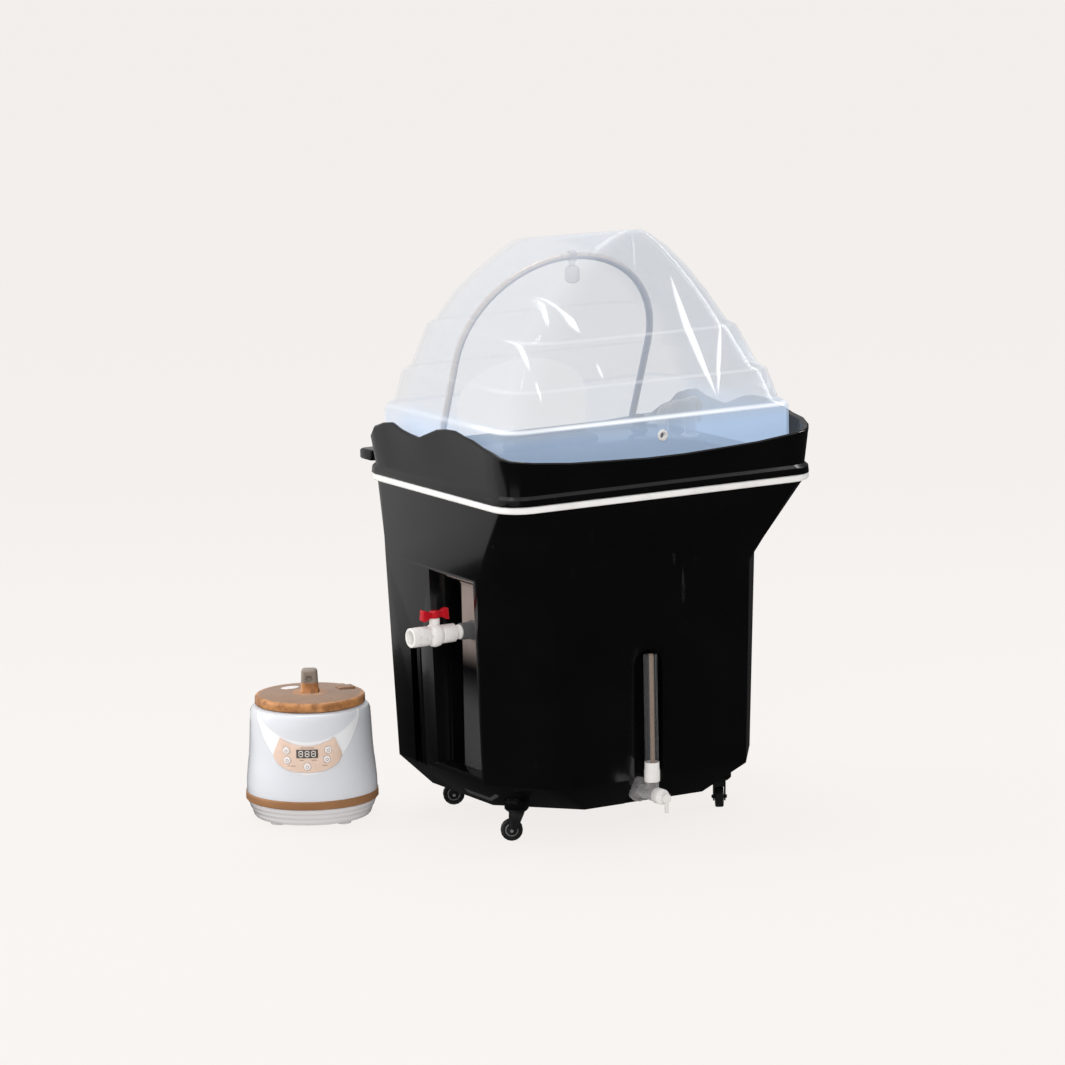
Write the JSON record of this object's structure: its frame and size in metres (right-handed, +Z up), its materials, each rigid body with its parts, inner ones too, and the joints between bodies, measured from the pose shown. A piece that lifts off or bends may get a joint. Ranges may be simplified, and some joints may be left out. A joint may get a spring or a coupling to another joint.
{
  "type": "portable head steam basin with hood",
  "caption": "Mobile head-spa basin on casters with a lift-off clear steam hood, water spray arch, level gauge, side drain valve and a separate steam generator.",
  "frame": {"origin": "middle of the footprint of the basin and its steamer, on the floor", "axes": "+Z up, -Y the front with the level gauge, +X to the right seen from the front"},
  "size_m": [0.8302, 0.6482, 1.035],
  "materials": {
    "black_shell": "satin black moulding with a soft sheen",
    "white_trim": "matt white strip",
    "black_rubber": "matt black",
    "clear_hood": "clear acrylic with a pale blue cast",
    "clear_plastic": "clear moulded plastic",
    "chrome": "polished tube",
    "steel": "brushed",
    "grey_pvc": "grey pipe",
    "white_pvc": "white pipe fitting",
    "red_plastic": "glossy red",
    "steamer_white": "glossy white",
    "gold_trim": "satin gold",
    "amber_lid": "smoky amber",
    "panel_beige": "satin rose beige",
    "display_dark": "dark window",
    "button_beige": "satin"
  },
  "bodies": {
    "tub": {"arch_socket_left": "black_rubber", "arch_socket_right": "black_rubber", "basin": "black_shell", "caster_back_left_plate": "black_rubber", "caster_back_right_plate": "black_rubber", "caster_front_left_plate": "black_rubber", "caster_front_right_plate": "black_rubber", "circulation_pump": "black_rubber", "drain_nipple": "white_pvc", "drain_strainer": "steel", "drain_stub": "grey_pvc", "drain_valve_body": "white_pvc", "feed_hose": "clear_plastic", "feed_valve": "clear_plastic", "gauge_nut": "white_pvc", "gauge_ring_nut": "clear_plastic", "gauge_tap": "white_pvc", "gauge_tee": "clear_plastic", "gauge_tube": "clear_plastic", "head_rest": "black_rubber", "trim_strip": "white_trim", "tub_shell": "black_shell"},
    "hood": {"hood": "clear_hood", "hose_grommet": "clear_plastic"},
    "spray_arch": {"spray_arch": "chrome", "spray_nozzle": "clear_plastic"},
    "drain_handle": {"drain_handle": "red_plastic"},
    "gauge_tap_lever": {"gauge_tap_lever": "white_pvc"},
    "feed_lever": {"feed_lever": "clear_plastic"},
    "caster_front_left_swivel": {"caster_front_left_fork": "black_rubber"},
    "caster_front_left_wheel": {"caster_front_left_wheel": "black_rubber"},
    "caster_front_right_swivel": {"caster_front_right_fork": "black_rubber"},
    "caster_front_right_wheel": {"caster_front_right_wheel": "black_rubber"},
    "caster_back_left_swivel": {"caster_back_left_fork": "black_rubber"},
    "caster_back_left_wheel": {"caster_back_left_wheel": "black_rubber"},
    "caster_back_right_swivel": {"caster_back_right_fork": "black_rubber"},
    "caster_back_right_wheel": {"caster_back_right_wheel": "black_rubber"},
    "steamer": {"steamer_base": "steamer_white", "steamer_heater": "steel", "steamer_band": "gold_trim", "steamer_body": "steamer_white", "steamer_pot": "steel", "control_panel": "panel_beige", "display": "display_dark"},
    "steamer_lid": {"steamer_lid": "amber_lid", "steam_outlet": "amber_lid"},
    "button_upper_left": {"button_upper_left": "button_beige"},
    "button_lower_left": {"button_lower_left": "button_beige"},
    "button_upper_right": {"button_upper_right": "button_beige"},
    "button_lower_right": {"button_lower_right": "button_beige"},
    "button_centre": {"button_centre": "button_beige"}
  },
  "joints": [
    {"name": "hood_lift", "type": "slide", "parent": "tub", "child": "hood", "axis": [0, 0, 1], "range_m": [0, 0.45]},
    {"name": "arch_tilt", "type": "hinge", "parent": "tub", "child": "spray_arch", "pos_m": [0.10535, 0.10455, 0.65], "axis": [1, 0, 0], "range_deg": [0, 40]},
    {"name": "drain_handle_turn", "type": "hinge", "parent": "tub", "child": "drain_handle", "pos_m": [-0.20855, -0.07545, 0.3858], "axis": [0, 0, 1], "range_deg": [0, 90]},
    {"name": "gauge_tap_turn", "type": "hinge", "parent": "tub", "child": "gauge_tap_lever", "pos_m": [0.09535, -0.31805, 0.078], "axis": [0, -1, 0], "range_deg": [0, 90]},
    {"name": "feed_lever_turn", "type": "hinge", "parent": "tub", "child": "feed_lever", "pos_m": [0.36665, -0.00545, 0.686], "axis": [1, 0, 0], "range_deg": [0, 90]},
    {"name": "caster_front_left_swivel", "type": "hinge", "parent": "tub", "child": "caster_front_left_swivel", "pos_m": [-0.10065, -0.15345, 0.05], "axis": [0, 0, 1], "continuous": true},
    {"name": "caster_front_left_roll", "type": "hinge", "parent": "caster_front_left_swivel", "child": "caster_front_left_wheel", "pos_m": [-0.10852, -0.14909, 0.019], "axis": [-0.4848, -0.8746, 0], "continuous": true},
    {"name": "caster_front_right_swivel", "type": "hinge", "parent": "tub", "child": "caster_front_right_swivel", "pos_m": [0.30935, -0.15145, 0.05], "axis": [0, 0, 1], "continuous": true},
    {"name": "caster_front_right_roll", "type": "hinge", "parent": "caster_front_right_swivel", "child": "caster_front_right_wheel", "pos_m": [0.31385, -0.14366, 0.019], "axis": [-0.866, 0.5, 0], "continuous": true},
    {"name": "caster_back_left_swivel", "type": "hinge", "parent": "tub", "child": "caster_back_left_swivel", "pos_m": [-0.04665, 0.13855, 0.05], "axis": [0, 0, 1], "continuous": true},
    {"name": "caster_back_left_roll", "type": "hinge", "parent": "caster_back_left_swivel", "child": "caster_back_left_wheel", "pos_m": [-0.05467, 0.14264, 0.019], "axis": [-0.454, -0.891, 0], "continuous": true},
    {"name": "caster_back_right_swivel", "type": "hinge", "parent": "tub", "child": "caster_back_right_swivel", "pos_m": [0.25735, 0.13855, 0.05], "axis": [0, 0, 1], "continuous": true},
    {"name": "caster_back_right_roll", "type": "hinge", "parent": "caster_back_right_swivel", "child": "caster_back_right_wheel", "pos_m": [0.25427, 0.14701, 0.019], "axis": [-0.9397, -0.342, 0], "continuous": true},
    {"name": "steamer_lift", "type": "slide", "parent": "tub", "child": "steamer", "axis": [0, 0, 1], "range_m": [0, 0.25]},
    {"name": "lid_lift", "type": "slide", "parent": "steamer", "child": "steamer_lid", "axis": [0, 0, 1], "range_m": [0, 0.12]},
    {"name": "button_upper_left_press", "type": "slide", "parent": "steamer", "child": "button_upper_left", "axis": [0.7731, 0.6305, -0.0691], "range_m": [0, 0.001], "stiffness_N_per_m": 300},
    {"name": "button_lower_left_press", "type": "slide", "parent": "steamer", "child": "button_lower_left", "axis": [0.762, 0.6439, -0.0691], "range_m": [0, 0.001], "stiffness_N_per_m": 300},
    {"name": "button_upper_right_press", "type": "slide", "parent": "steamer", "child": "button_upper_right", "axis": [0.221, 0.9728, -0.0691], "range_m": [0, 0.001], "stiffness_N_per_m": 300},
    {"name": "button_lower_right_press", "type": "slide", "parent": "steamer", "child": "button_lower_right", "axis": [0.2464, 0.9667, -0.0691], "range_m": [0, 0.001], "stiffness_N_per_m": 300},
    {"name": "button_centre_press", "type": "slide", "parent": "steamer", "child": "button_centre", "axis": [0.5257, 0.8479, -0.0691], "range_m": [0, 0.001], "stiffness_N_per_m": 300}
  ]
}
